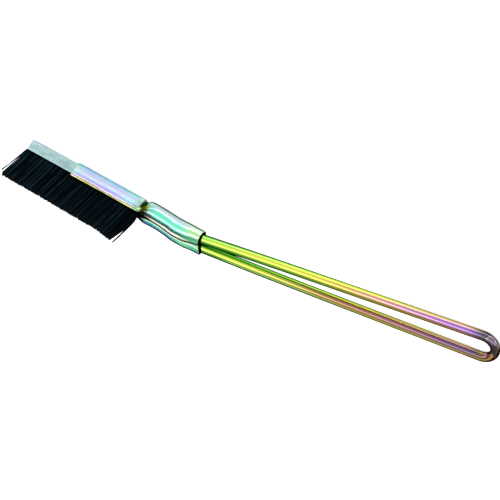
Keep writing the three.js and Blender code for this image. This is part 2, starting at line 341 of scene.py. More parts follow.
def turned(mat, head_share=None):
    """How far a face turns away, measured across the part's axis, so that a view along
    the axis doesn't darken a whole side. head_share: 0 on the handle's axis, 1 on the head's."""
    geometry = mat.add("ShaderNodeNewGeometry")
    incoming, normal = geometry.outputs["Incoming"], geometry.outputs["Normal"]

    def dot(first, second):
        return mat.vector("DOT_PRODUCT", {0: first, 1: second})

    def across(axis, gain):
        axis = tuple(axis)
        along = mat.vector("SCALE", {0: axis, "Scale": dot(incoming, axis)})
        square = mat.vector("NORMALIZE", {0: mat.vector("SUBTRACT", {0: incoming, 1: along})})
        return mat.scaled(mat.calc("ABSOLUTE", dot(normal, square)), gain)

    facing = across(HANDLE_X, gain=0.983)
    if head_share is not None:
        on_head = across(TIPWARD, gain=0.950)
        facing = mat.plus(mat.times(facing, mat.inverse(head_share)),
                          mat.times(on_head, head_share))
    straight = mat.calc("ABSOLUTE", dot(normal, incoming))
    return mat.calc("SUBTRACT", 1.0, mat.calc("MAXIMUM", facing, straight), clamp=True)


# ---------------------------------------------------------------- plated sheet
# Film colours round the sheet: (girth, red, green, blue), girth 0 at the middle of the back
# and 1 at the sheet's edges.
POCKET_FILM = [
    (0.00, 150, 190, 205), (0.16, 80, 136, 158), (0.25, 128, 188, 220), (0.31, 176, 202, 236),
    (0.38, 196, 190, 226), (0.44, 204, 204, 238), (0.50, 222, 234, 250), (0.555, 196, 218, 250),
    (0.61, 158, 146, 252), (0.65, 202, 170, 244), (0.69, 218, 206, 222), (0.72, 176, 150, 120),
    (0.745, 140, 134, 56), (0.77, 196, 204, 92), (0.80, 226, 234, 128), (0.90, 190, 200, 80)]
POCKET_END_FILM = [
    (0.00, 165, 215, 205), (0.16, 84, 160, 134), (0.25, 104, 206, 186), (0.31, 168, 226, 232),
    (0.37, 180, 204, 222), (0.45, 204, 222, 244), (0.52, 196, 240, 234), (0.58, 150, 232, 228),
    (0.64, 150, 196, 232), (0.69, 206, 204, 220), (0.72, 176, 130, 134), (0.745, 160, 140, 84),
    (0.77, 214, 216, 124), (0.80, 232, 236, 140), (0.90, 190, 200, 80)]
# Films laid over the pocket's in turn, from the pocket to the mouth:
# (along where it is absent, along where it is full, colours)
FILM_ZONES = [
    (7.5, 3.0, [
        (0.00, 180, 220, 210), (0.26, 184, 232, 212), (0.37, 146, 206, 186),
        (0.43, 138, 198, 172), (0.50, 156, 204, 186), (0.56, 166, 206, 186),
        (0.62, 138, 176, 138), (0.69, 140, 152, 104), (0.735, 96, 108, 56),
        (0.77, 216, 216, 160), (0.90, 120, 120, 50)]),
    (2.6, 1.5, [
        (0.00, 150, 190, 150), (0.40, 90, 170, 130), (0.48, 120, 226, 150),
        (0.56, 190, 255, 150), (0.64, 186, 240, 120), (0.70, 120, 148, 60),
        (0.78, 56, 70, 24), (0.95, 26, 26, 8)]),
    (0.4, -0.9, [
        (0.00, 170, 240, 215), (0.26, 176, 250, 222), (0.38, 228, 255, 244),
        (0.46, 206, 246, 222), (0.50, 150, 214, 126), (0.54, 138, 198, 70),
        (0.585, 190, 186, 60), (0.625, 140, 128, 8), (0.68, 84, 86, 2),
        (0.75, 38, 30, 4), (0.95, 24, 12, 4)]),
    # In this film and the next, the dark band near girth 0.83 to 0.86 is painted shade where the
    # sheet turns down to the slit, and the pale band after it, to 0.95, is a painted highlight on
    # the lip's rounded edge.
    (-3.6, -6.0, [
        (0.00, 175, 215, 200), (0.26, 170, 212, 190), (0.42, 204, 228, 214),
        (0.49, 186, 204, 212), (0.56, 146, 188, 198), (0.62, 116, 186, 176),
        (0.68, 122, 210, 168), (0.73, 160, 214, 190), (0.785, 52, 122, 130),
        (0.83, 16, 36, 56), (0.88, 120, 104, 74), (0.93, 196, 190, 140), (1.0, 120, 120, 80)]),
    (-6.5, -10.5, [
        (0.00, 180, 215, 205), (0.26, 176, 214, 196), (0.40, 196, 226, 216),
        (0.48, 186, 206, 214), (0.54, 172, 204, 212), (0.59, 128, 222, 204),
        (0.64, 104, 246, 204), (0.69, 100, 255, 190), (0.73, 150, 250, 214),
        (0.77, 120, 236, 196), (0.80, 48, 186, 150), (0.835, 36, 74, 130),
        (0.862, 36, 26, 28), (0.885, 240, 234, 206), (0.95, 255, 255, 238),
        (1.0, 190, 196, 160)]),
    (-26.0, -37.0, [
        (0.00, 180, 212, 150), (0.32, 180, 214, 140), (0.43, 206, 240, 196),
        (0.52, 220, 244, 214), (0.57, 196, 246, 186), (0.62, 158, 250, 136),
        (0.67, 204, 240, 176), (0.71, 190, 236, 204), (0.76, 120, 230, 170),
        (0.81, 108, 240, 130), (0.85, 90, 210, 140), (0.90, 110, 180, 150),
        (1.0, 150, 200, 140)]),
]
# The +Y half of the body near the sheet's edge, and the same close to the mouth; in both, the
# darker band from about girth 0.7 to 0.85, where this half turns away, is painted shade
FAR_FILM = [
    (0.00, 180, 215, 205), (0.60, 190, 225, 220), (0.74, 120, 110, 140), (0.80, 74, 70, 124),
    (0.85, 70, 92, 160), (0.89, 84, 166, 190), (0.93, 130, 232, 200), (0.965, 176, 214, 178),
    (1.0, 150, 160, 120)]
FAR_MOUTH_FILM = [
    (0.00, 180, 215, 205), (0.60, 170, 220, 190), (0.76, 60, 130, 110), (0.83, 84, 200, 150),
    (0.88, 110, 240, 150), (0.93, 150, 232, 190), (0.965, 200, 240, 200), (1.0, 150, 200, 140)]
RIM_FILM = [
    (0.10, 60, 150, 80), (0.30, 120, 220, 120), (0.42, 196, 228, 150), (0.55, 214, 236, 180),
    (0.68, 226, 236, 120), (0.8, 210, 226, 80)]
# Painted shade in the crimp's groove: (noise level, red, green, blue)
GROOVE_SHADE = [(0.36, 18, 16, 3), (0.5, 58, 52, 10), (0.6, 36, 26, 8), (0.7, 30, 50, 30)]


def plated_sheet():
    """Passivated zinc on pressed sheet: colour bands that follow the bend, mottle and scuffs."""
    mat = new_material("plated_sheet")
    along, girth, inner, edge, groove = (
        mat.attr(name) for name in ("along", "girth", "inner", "edge", "groove"))
    place = mat.coords()
    cloud = mat.noise(mat.coords(stretch=(0.45, 1, 1)), scale=230, detail=4, rough=0.62)
    broad = mat.noise(mat.coords(stretch=(0.30, 1, 1)), scale=75, detail=2, rough=0.5)
    fine = mat.noise(place, scale=1100, detail=3, rough=0.6)
    mottle = mat.noise(mat.coords(stretch=(0.6, 1, 1)), scale=520, detail=3, rough=0.6)
    facing = turned(mat, mat.mask(along, off=-14.0, on=2.0))

    # bands of film, their borders wandering a little
    band = mat.plus(girth, mat.plus(mat.centred(cloud, swing=0.10),
                                    mat.centred(broad, swing=0.07)))
    pocket_ends = mat.plus(mat.mask(along, off=41.0, on=48.0),
                           mat.mask(along, off=17.0, on=9.0), clamp=True)
    colour = mat.paint(mat.tints(band, POCKET_FILM), mat.tints(band, POCKET_END_FILM),
                       pocket_ends)
    for absent, full, film in FILM_ZONES:
        colour = mat.paint(colour, mat.tints(band, film), mat.mask(along, off=absent, on=full))
    far_film = mat.paint(mat.tints(band, FAR_FILM), mat.tints(band, FAR_MOUTH_FILM),
                         mat.mask(along, off=-22.0, on=-35.0))
    far_side = mat.times(mat.attr("other"), mat.mask(girth, off=0.66, on=0.76),
                         mat.mask(along, off=-1.5, on=-6.0))
    colour = mat.paint(colour, far_film, far_side)

    # mottling everywhere but on the flanks by the crimp
    calm = mat.inverse(mat.times(mat.mask(along, off=-6.5, on=-4.0),
                                 mat.mask(along, off=2.5, on=0.0),
                                 mat.mask(girth, off=0.5, on=0.6)))
    colour = mat.paint(colour, mat.paint((196, 178, 226), (206, 196, 236), broad),
                       mat.times(mat.mask(mottle, off=0.54, on=0.64), calm), share=0.42)
    colour = mat.paint(colour, (150, 232, 212),
                       mat.times(mat.mask(mottle, off=0.46, on=0.36), calm), share=0.34)
    rim = mat.mask(mat.plus(along, mat.scaled(mottle, gain=1.0)), off=48.1, on=48.9)
    colour = mat.paint(colour, mat.tints(band, RIM_FILM), rim, share=0.8)

    # stains, darker and paler specks, painted shade in the groove, pale edges, a painted shadow
    # line along the slit, painted shade inside
    stain = mat.mask(mat.noise(place, scale=330, detail=2, rough=0.5), off=0.64, on=0.72)
    colour = mat.paint(colour, mat.paint((236, 190, 190), (150, 205, 190), broad),
                       stain, share=0.35)
    colour = mat.paint(colour, (120, 150, 150), mat.mask(fine, off=0.60, on=0.72), share=0.20)
    colour = mat.paint(colour, (246, 246, 250), mat.mask(fine, off=0.42, on=0.30), share=0.30)
    # painted shade in the crimp's groove
    colour = mat.paint(colour, mat.tints(cloud, GROOVE_SHADE), groove, share=0.94)
    colour = mat.paint(colour, (236, 240, 180), edge, share=0.55)
    # painted shadow: a dark line along the sheet's edges where they turn into the slit
    slit_shadow = mat.times(mat.mask(girth, off=0.955, on=0.99),
                          mat.mask(along, off=-1.0, on=-6.0))
    colour = mat.paint(colour, (70, 64, 34), slit_shadow, share=0.8)
    # painted shade over the inner skin
    colour = mat.paint(colour, (16, 18, 10), inner, share=0.98)

    # painted shade: darker and greener where the sheet turns away from the view, but not on the -Y
    # lip or in the groove
    # the -Y lip by the slit, whose film holds a painted highlight: kept out of the painted shade
    # and made less metallic so the highlight shows
    painted_lip_highlight = mat.times(mat.times(mat.mask(girth, off=0.868, on=0.885),
                              mat.mask(girth, off=0.985, on=0.955)),
                    mat.times(mat.mask(along, off=-5.0, on=-9.0),
                              mat.mask(along, off=-38.0, on=-33.0)))
    painted_lip_highlight = mat.times(painted_lip_highlight, mat.inverse(mat.attr("other")))
    darkening = 0.93
    spared = mat.scaled(mat.calc("MAXIMUM", groove, painted_lip_highlight), gain=darkening)
    away = mat.times(mat.mask(facing, off=0.34, on=0.66),
                     mat.calc("SUBTRACT", darkening, spared))
    shade = mat.paint((14, 62, 52), (30, 122, 112), mat.mask(along, off=1.0, on=6.0))
    colour = mat.paint(colour, shade, away)

    rough = mat.plus(mat.scaled(cloud, gain=0.18), mat.scaled(inner, gain=0.25, base=0.10))
    waves = mat.noise(mat.coords(stretch=(0.4, 1, 1)), scale=150, detail=2, rough=0.5)
    lines = mat.noise(mat.coords(stretch=(0.06, 1, 1)), scale=2600, detail=2, rough=0.5)
    normal = mat.bump(waves, strength=0.45, distance=0.0009)
    normal = mat.bump(fine, strength=0.10, distance=0.0002, under=normal)
    normal = mat.bump(lines, strength=0.05, distance=0.0002, under=normal)
    clear = mat.times(mat.times(mat.mask(facing, off=0.44, on=0.18), calm),
                      mat.inverse(mat.calc("MAXIMUM", groove, inner)))
    return mat.surface(colour, rough, normal, metallic=mat.inverse(mat.scaled(painted_lip_highlight, gain=0.75)),
                       Coat_Weight=mat.scaled(clear, gain=0.35), Coat_IOR=1.8,
                       Coat_Roughness=0.12, Specular_Tint=(0.12, 0.26, 0.24, 1.0))


# ---------------------------------------------------------------- plated rod
# Film phase down the rod: (0 in the sleeve to 1 at the loop, phase)
ROD_PHASE = [
    (0.0, 0.66), (0.18, 0.60), (0.36, 0.51), (0.45, 0.465), (0.54, 0.38),
    (0.63, 0.30), (0.72, 0.22), (0.80, 0.17), (0.90, 0.09), (1.0, 0.04)]
# (phase, red, green, blue)
ROD_FILM = [
    (0.00, 92, 78, 170), (0.09, 136, 88, 182), (0.18, 178, 122, 172), (0.27, 214, 150, 146),
    (0.35, 216, 170, 78), (0.43, 224, 212, 44), (0.52, 212, 230, 40), (0.62, 180, 234, 44),
    (0.72, 112, 210, 40), (0.82, 66, 164, 34), (0.92, 34, 106, 24), (1.0, 22, 66, 22)]
# (noise level, red, green, blue)
LOOP_OXIDE = [
    (0.30, 8, 8, 12), (0.44, 28, 24, 30), (0.50, 96, 80, 96), (0.54, 170, 146, 160),
    (0.58, 52, 42, 36), (0.66, 92, 100, 34), (0.76, 54, 78, 22), (0.9, 26, 44, 14)]
LOOP_HOT_SPOTS = [
    (0.38, 40, 14, 22), (0.45, 168, 48, 104), (0.51, 220, 124, 54), (0.56, 120, 36, 66),
    (0.64, 176, 176, 46)]
FAR_SIDE = (-0.39, 0.69, 0.61)                 # up and towards +Y


def plated_rod():
    """The same plating on the drawn rod: green at the sleeve, running to violet at the loop."""
    mat = new_material("plated_rod")
    along = mat.attr("along")                  # mm from the mouth towards the loop
    place = mat.coords()
    streak = mat.noise(mat.coords(stretch=(0.10, 1, 1)), scale=1100, detail=3, rough=0.6)
    cloud = mat.noise(mat.coords(stretch=(0.5, 1, 1)), scale=70, detail=3, rough=0.6)
    facing = turned(mat)

    phase_node = mat.add("ShaderNodeFloatCurve", {
        "Value": mat.remap(along, source=(-42.0, 178.0))})
    curve = phase_node.mapping.curves[0]
    curve.points[0].location, curve.points[1].location = ROD_PHASE[0], ROD_PHASE[-1]
    for point in ROD_PHASE[1:-1]:
        curve.points.new(*point)
    phase_node.mapping.update()
    turn_exponent = 0.95
    turn_phase = mat.scaled(mat.calc("POWER", facing, turn_exponent), gain=0.72)
    wobble = mat.plus(mat.centred(cloud, swing=0.07), mat.centred(streak, swing=0.06))
    phase = mat.plus(mat.plus(phase_node.outputs[0], turn_phase), wobble, clamp=True)
    colour = mat.tints(phase, ROD_FILM)

    # dark oxide on the loop, with hot spots towards its +Y leg
    loop = mat.mask(along, off=164.0, on=178.0)
    patch = mat.mask(mat.noise(place, scale=170, detail=3, rough=0.6), off=0.44, on=0.52)
    oxide = mat.tints(mat.plus(cloud, mat.scaled(facing, gain=0.22)), LOOP_OXIDE)
    patch_share = mat.inverse(mat.scaled(mat.attr("leg"), gain=0.6))
    oxide = mat.paint(oxide, (9, 8, 11), patch, share=patch_share)
    colour = mat.paint(colour, oxide, loop, share=0.92)
    hot_zone = mat.times(mat.mask(along, off=168.0, on=177.0),
                         mat.mask(mat.attr("leg"), off=0.25, on=0.95))
    hot = mat.tints(mat.noise(place, scale=230, detail=2, rough=0.5), LOOP_HOT_SPOTS)
    colour = mat.paint(colour, hot, hot_zone, share=0.72)
    spots = mat.mask(mat.noise(place, scale=520, detail=2, rough=0.5), off=0.69, on=0.75)
    colour = mat.paint(colour, (220, 215, 200), spots, share=0.25)

    # painted shade on the far side and over the middle of the +Y leg, a painted highlight line
    # along that leg, and painted dark outlines
    geometry = mat.add("ShaderNodeNewGeometry")
    towards_far = mat.vector("DOT_PRODUCT", {0: geometry.outputs["Normal"], 1: FAR_SIDE})
    shade = mat.paint((160, 190, 80), (150, 108, 62), mat.mask(along, off=30.0, on=90.0))
    colour = mat.paint(colour, mat.paint(colour, shade, 1.0, blend="MULTIPLY"),
                       mat.mask(towards_far, off=0.30, on=0.72), share=0.80)
    # painted shade over the middle of the +Y leg
    leg = mat.times(mat.attr("leg"), mat.times(mat.mask(facing, off=0.34, on=0.05),
                                               mat.mask(along, off=8.0, on=90.0)))
    colour = mat.paint(colour, mat.paint(colour, (164, 132, 124), 1.0, blend="MULTIPLY"),
                       leg, share=0.95)
    # painted highlight: a bright line along the +Y leg
    glint = mat.times(mat.times(mat.mask(towards_far, off=0.40, on=0.52),
                                mat.mask(towards_far, off=0.70, on=0.58)),
                      mat.times(mat.attr("leg"), mat.mask(along, off=10.0, on=20.0)))
    glint_colour = mat.paint((232, 250, 160), (226, 226, 84),
                             mat.mask(along, off=40.0, on=110.0))
    colour = mat.paint(colour, glint_colour, glint, share=0.75)
    # painted shade: dark outlines where the rod turns away from the view
    outline = mat.paint((8, 34, 4), (34, 34, 2), mat.mask(along, off=60.0, on=150.0))
    colour = mat.paint(colour, outline, mat.mask(facing, off=0.38, on=0.66), share=0.97)

    # painted shade on the rod just outside the sleeve's mouth
    mouth_shade = mat.mask(mat.attr("past_rim"), off=1.35, on=0.75)
    colour = mat.paint(colour, (5, 9, 4), mouth_shade)

    waves = mat.noise(mat.coords(stretch=(0.3, 1, 1)), scale=120, detail=2, rough=0.5)
    lines = mat.noise(mat.coords(stretch=(0.03, 1, 1)), scale=2600, detail=2, rough=0.5)
    normal = mat.bump(waves, strength=0.18, distance=0.0006)
    normal = mat.bump(lines, strength=0.05, distance=0.0002, under=normal)
    coat = mat.times(mat.inverse(mouth_shade), mat.mask(facing, off=0.42, on=0.16))
    return mat.surface(colour, mat.scaled(streak, gain=0.10, base=0.10), normal,
                       Coat_Weight=mat.scaled(coat, gain=0.8), Coat_IOR=1.9,
                       Coat_Roughness=0.07, Specular_Tint=(0.10, 0.16, 0.06, 1.0))


# ---------------------------------------------------------------- zinc and wire
# (level, red, green, blue)
ZINC_GREYS = [(0.25, 138, 164, 166), (0.5, 160, 188, 190), (0.75, 182, 206, 208)]
WIRE_GREYS = [
    (0.0, 7, 12, 15), (0.30, 12, 20, 24), (0.55, 17, 27, 32), (0.74, 22, 35, 42),
    (0.84, 34, 54, 65), (0.90, 17, 28, 33), (1.0, 50, 76, 90)]


def zinc_strip():
    """Spangled zinc, streaked along the head, with painted shade in the dents and where the strip
    turns away.
    """
    mat = new_material("zinc_strip")
    head_turn = (0.0, math.atan2(-TIPWARD[2], TIPWARD[0]), 0.0)
    streak = mat.noise(mat.coords(stretch=(0.08, 1, 1), turn=head_turn),
                       scale=1500, detail=3, rough=0.6)
    cloud = mat.noise(mat.coords(stretch=(0.5, 1, 1)), scale=220, detail=4, rough=0.65)
    cells = mat.add("ShaderNodeTexVoronoi", {"Vector": mat.coords(), "Scale": 420}, feature="F1")
    spangle = mat.add("ShaderNodeSeparateColor", {0: cells.outputs["Color"]}).outputs[0]
    level = mat.plus(mat.scaled(cloud, gain=0.8), mat.scaled(spangle, gain=0.2))
    colour = mat.tints(level, ZINC_GREYS)
    colour = mat.paint(colour, (120, 150, 150), mat.mask(streak, off=0.55, on=0.7), share=0.25)
    # painted shade in the dents
    colour = mat.paint(colour, (88, 124, 128), mat.attr("dent"), share=0.55)
    normal = mat.bump(streak, strength=0.10, distance=0.0002)
    normal = mat.bump(spangle, strength=0.06, distance=0.0003, under=normal)
    all_head = mat.plus(0.5, 0.5)              # a constant 1: the strip is all on the head
    # painted shade where the strip turns away from the view
    away = mat.mask(turned(mat, all_head), off=0.36, on=0.80)
    colour = mat.paint(colour, (44, 70, 76), away, share=0.85)
    return mat.surface(colour, mat.scaled(cloud, gain=0.2, base=0.30), normal,
                       Specular_Tint=(0.25, 0.4, 0.42, 1.0))


def bristle_wire():
    """Dark steel, with its own tone for each wire and slightly paler tips."""
    mat = new_material("bristle_wire")
    scale = mat.noise(mat.coords(stretch=(1, 1, 0.25)), scale=1400, detail=3, rough=0.6)
    colour = mat.tints(mat.attr("wire"), WIRE_GREYS)
    colour = mat.paint(colour, (8, 10, 12), mat.mask(scale, off=0.5, on=0.7), share=0.5)
    colour = mat.paint(colour, (60, 70, 74), mat.attr("tip"), share=0.15)
    return mat.surface(colour, mat.scaled(scale, gain=0.25, base=0.30),
                       mat.bump(scale, strength=0.15, distance=0.0001),
                       Specular_Tint=(0.05, 0.07, 0.08, 1.0))


MATERIALS = {"plated_sheet": plated_sheet(), "plated_rod": plated_rod(),
             "zinc_strip": zinc_strip(), "bristle_wire": bristle_wire()}

# ---------------------------------------------------------------- sleeve
HALF_SHEET = 0.9 / 2
# Half outlines of the bent sheet, to the middle of its thickness. Columns: distance behind
# the crimp | back height at the centre, back height at the side, half width, back radius,
# top height, top radius, inner corner side, its radius, edge side, edge height
SLEEVE = [
    [-POCKET, -5.55, -5.55, 2.90, 1.15, 5.05, 1.00, 1.60, 0.60, 1.62, 4.25],
    [-3.2, -5.55, -5.55, 2.90, 1.15, 5.05, 1.00, 1.60, 0.60, 1.62, 4.25],
    [-0.8, -5.50, -5.50, 2.85, 1.20, 5.10, 1.00, 1.58, 0.60, 1.60, 4.30],
    [0.7, -5.50, -5.50, 3.60, 2.00, 5.05, 1.30, 1.60, 0.60, 1.50, 4.30],
    [2.4, -5.50, -5.50, 5.00, 3.00, 5.00, 2.10, 1.55, 0.65, 1.35, 4.30],
    [4.5, -5.50, -5.50, 6.25, 4.00, 4.85, 3.40, 1.50, 0.70, 1.15, 4.10],
    [8.0, -5.45, -5.45, 6.90, 4.60, 4.65, 4.50, 1.30, 0.65, 0.85, 4.00],
    [13.0, -5.15, -5.15, 7.05, 4.80, 4.80, 4.80, 1.22, 0.62, 0.76, 4.10],
    [18.0, -4.65, -4.65, 7.15, 4.80, 5.35, 4.80, 1.20, 0.60, 0.74, 4.75],
    [25.0, -4.25, -4.25, 7.30, 4.90, 6.40, 4.90, 1.20, 0.60, 0.72, 5.80],
    [31.0, -4.20, -4.20, 7.45, 4.70, 6.20, 4.70, 1.30, 0.62, 0.70, 5.50],
    [37.0, -3.75, -3.85, 7.60, 4.20, 4.95, 4.20, 1.60, 0.90, 0.66, 3.70],
    [40.0, -3.42, -3.70, 7.62, 3.88, 4.66, 3.88, 1.78, 1.00, 0.63, 3.18],
    [BODY, -3.10, -3.62, 7.62, 3.62, 4.44, 3.62, 1.92, 1.10, 0.60, 2.86],
]
# Segments of the half outline: its four straights and the three arcs between them
STRAIGHT_STEPS = [6, 10, 7, 4]
ARC_STEPS = [12, 14, 8]
# How much of the straights before and after it each arc may take up
ARC_LIMITS = [(0.98, 0.55), (0.55, 0.85), (0.30, 0.9)]


def half_outline(row):
    """Rounded outline from the centre of the back to the sheet's edge, as (side, height)."""
    (back_centre, back_side, width, back_radius, top, top_radius,
     inner_side, inner_radius, edge_side, edge_height) = row
    corners = [np.array(c) for c in ((0.0, back_centre), (width, back_side), (width, top),
                                     (inner_side, top), (edge_side, edge_height))]
    arcs = []
    for i, radius in enumerate((back_radius, top_radius, inner_radius)):
        corner = corners[i + 1]
        before, after = corners[i] - corner, corners[i + 2] - corner
        length_before, length_after = np.linalg.norm(before), np.linalg.norm(after)
        before, after = before / length_before, after / length_after
        half_angle = math.acos(max(-1.0, min(1.0, float(before @ after)))) / 2
        cut = min(radius / math.tan(half_angle), length_before * ARC_LIMITS[i][0],
                  length_after * ARC_LIMITS[i][1])
        radius = cut * math.tan(half_angle)
        middle = (before + after) / np.linalg.norm(before + after)
        centre = corner + middle * radius / math.sin(half_angle)
        start, end = corner + before * cut - centre, corner + after * cut - centre
        first = math.atan2(start[1], start[0])
        sweep = math.atan2(end[1], end[0]) - first
        while sweep > math.pi:
            sweep -= 2 * math.pi
        while sweep < -math.pi:
            sweep += 2 * math.pi
        steps = ARC_STEPS[i]
        angles = [first + sweep * k / steps for k in range(steps + 1)]
        arcs.append([centre + radius * np.array([math.cos(t), math.sin(t)]) for t in angles])
    points = []
    start = corners[0]
    for arc, steps in zip(arcs, STRAIGHT_STEPS):
        points.extend(start + (arc[0] - start) * k / steps for k in range(steps))
        points.extend(arc[:-1])
        start = arc[-1]
    steps = STRAIGHT_STEPS[3]
    points.extend(start + (corners[4] - start) * k / steps for k in range(steps + 1))
    return np.array(points)


def crimp_marks(distance, height):
    """How far the crimp presses the flanks in, and the strength of its dark line."""
    offset = distance - (-1.15 - 0.15 * height)        # from the groove's leaning centre line
    low = np.clip(1.5 - height, 0, 7)                  # the groove widens towards the back
    flank = unit((height + 6.2) / 1.2) * unit((2.6 - height) / 2.2)
    groove = np.exp(-np.abs(offset / (1.0 + 0.14 * low)) ** 2.6) * smooth(flank)
    ridge = np.exp(-((offset + 2.4) ** 2)) * flank     # raised in front of the groove
    tint = np.exp(-np.abs(offset / (0.85 + 0.11 * low)) ** 3.5)
    tint = tint * unit((height + 6.4) / 0.8) * unit((3.4 - height) / 1.6)
    clear = smooth(unit((1.85 + distance) / 0.95))     # stays behind the end of the strip
    return 1.15 * groove * clear - 0.10 * ridge, tint


def sheet_edge(point, outwards, normal, half):
    """Three points that round off the sheet's edge, from the outer skin to the inner."""
    return [point + outwards * 0.30 + normal * half * 0.72, point + outwards * 0.42,
            point + outwards * 0.30 - normal * half * 0.72]


def section(distance, thickness):
    """Closed outline of the sheet at a distance behind the crimp, the attributes of its
    points, and the number of points on one skin."""
    half = half_outline(interpolate_rows(SLEEVE, distance))
    middle = np.vstack([(half * [-1, 1])[::-1], half[1:]])
    count = len(middle)
    tangent = np.gradient(middle, axis=0)
    tangent /= np.linalg.norm(tangent, axis=1)[:, None]
    normal = np.stack([tangent[:, 1], -tangent[:, 0]], 1)
    if normal[count // 2][1] > 0:              # outwards is downwards at the back centre
        normal = -normal
    skin = middle + normal * HALF_SHEET
    run = np.concatenate([[0.0], np.cumsum(np.linalg.norm(np.diff(skin, axis=0), axis=1))])
    girth = np.abs(run / run[-1] * 2.0 - 1.0)
    inset, tint = crimp_marks(distance, middle[:, 1])
    middle[:, 0] -= np.sign(middle[:, 0]) * inset
    depth = HALF_SHEET * thickness
    first_edge = sheet_edge(middle[0], -tangent[0], normal[0], depth)
    last_edge = sheet_edge(middle[-1], tangent[-1], normal[-1], depth)
    points = np.vstack([middle + normal * depth, last_edge,
                        (middle - normal * depth)[::-1], first_edge[::-1]])
    zeros = np.zeros(count)
    edge = np.concatenate([zeros, [0.8, 1.0, 0.6], zeros, [0.6, 1.0, 0.8]])
    edge[0] = edge[count - 1] = 0.5
    return points, {
        "inner": np.concatenate([zeros, [0.0, 0.3, 0.7], np.ones(count), [0.7, 0.3, 0.0]]),
        "edge": edge,
        "girth": np.concatenate([girth, [1, 1, 1], girth[::-1], [1, 1, 1]]),
        "groove": np.concatenate([tint, [0, 0, 0], tint[::-1], [0, 0, 0]]),
    }, count


def front_shift(height):
    """Lean of the front rim, with its back corner rounded off."""
    return -0.13 * height - 1.5 * unit((-height - 3.4) / 2.4) ** 2


def mouth_shift(side, height):
    """How far the mouth's rim is cut back, most on the -Y side."""
    return smooth(unit((4.0 - side) / 4.0)) * (1.6 - 0.7 * unit((-height - 0.5) / 4.0))


def sleeve_end(base, count, flip):
    """Faces between the outer and the inner skin across one end."""
    inner_first, inner_last = base + count + 3, base + 2 * count + 2
    faces = [(base + j, base + j + 1, inner_last - j - 1, inner_last - j)
             for j in range(count - 1)]
    faces.append(tuple(range(base + count - 1, inner_first + 1)))
    faces.append((inner_last + 3, base, inner_last, inner_last + 1, inner_last + 2))
    return [tuple(reversed(f)) for f in faces] if flip else faces


def build_sleeve():
    # stations behind the crimp, closest together about the crimp and the neck
    stations = [-POCKET, -POCKET + 0.10, -POCKET + 0.3]
    stations += list(np.arange(-POCKET + 0.9, -4.6, 0.9))
    stations += list(np.arange(-4.4, 6.0, 0.22))
    stations += list(np.arange(6.2, BODY - 0.5, 0.6))
    stations += [BODY - 0.3, BODY - 0.10, BODY]
    last = len(stations) - 1
    thinned = {0: 0.45, 1: 0.85, last - 1: 0.85, last: 0.45}       # rounds off the rims
    rim_reach, mouth_reach, fade = 7.0, 6.0, 1.5
    verts = []
    attributes = {key: [] for key in ("inner", "edge", "girth", "groove", "along", "other")}
    for i, distance in enumerate(stations):
        points, values, count = section(distance, thinned.get(i, 1.0))
        side, height = points[:, 0], points[:, 1]
        along = -distance * np.ones(len(points))
        near_front = unit((-distance - POCKET + rim_reach) / rim_reach)
        near_mouth = unit((distance - BODY + mouth_reach) / mouth_reach)
        along += front_shift(height) * near_front ** fade
        along += mouth_shift(side, height) * near_mouth ** fade
        verts.append(head_to_world(np.stack([along, side, height], 1)))
        if i in thinned:
            values["edge"] = np.maximum(values["edge"], 0.9)
        values["along"] = along
        values["other"] = unit(side / 0.3 + 0.5)
        for key, collected in attributes.items():
            collected.append(values[key])
    verts = np.vstack(verts)
    ring = 2 * count + 6
    ends = sleeve_end(0, count, flip=False) + sleeve_end(last * ring, count, flip=True)
    faces = turned_out(verts, ring_quads(len(stations), ring), ends)
    place("sleeve", verts, faces, {k: np.concatenate(v) for k, v in attributes.items()},
          sharp=50, rides="holder", slot="plated_sheet")


# ---------------------------------------------------------------- handle rod
ROD_RADIUS = 3.0
LOOP_RADIUS = 8.5
HANDLE_LENGTH = 175.5                          # mouth to the loop's centre
LEG_TILT = math.radians(1.4)                   # the legs close towards the mouth
ROD_START = 10.5                               # the rod's ends, behind the crimp
START_SIDE, MOUTH_SIDE = 3.35, 3.6             # side of a leg at its end and at the mouth
# Inside the sleeve: (distance behind the crimp, height)
ROD_INSIDE = [(10.5, -0.15), (13, 0.0), (18, 0.45), (25, 1.1), (32, 1.3), (37, 1.2)]
# Beyond the mouth: (handle x, how far the leg lies inside its straight line)
ROD_OUTSIDE = [(-10, 0.47), (-20, 0.33), (-32, 0.18), (-46, 0.06), (-65, 0.0),
               (-90, 0.0), (-120, 0.0), (-150, 0.0)]


def straight_leg(x):
    """Side of the tilted straight that meets the loop."""
    return (LOOP_RADIUS * math.cos(LEG_TILT)
            - (HANDLE_LENGTH - LOOP_RADIUS * math.sin(LEG_TILT) + x) * math.tan(LEG_TILT))


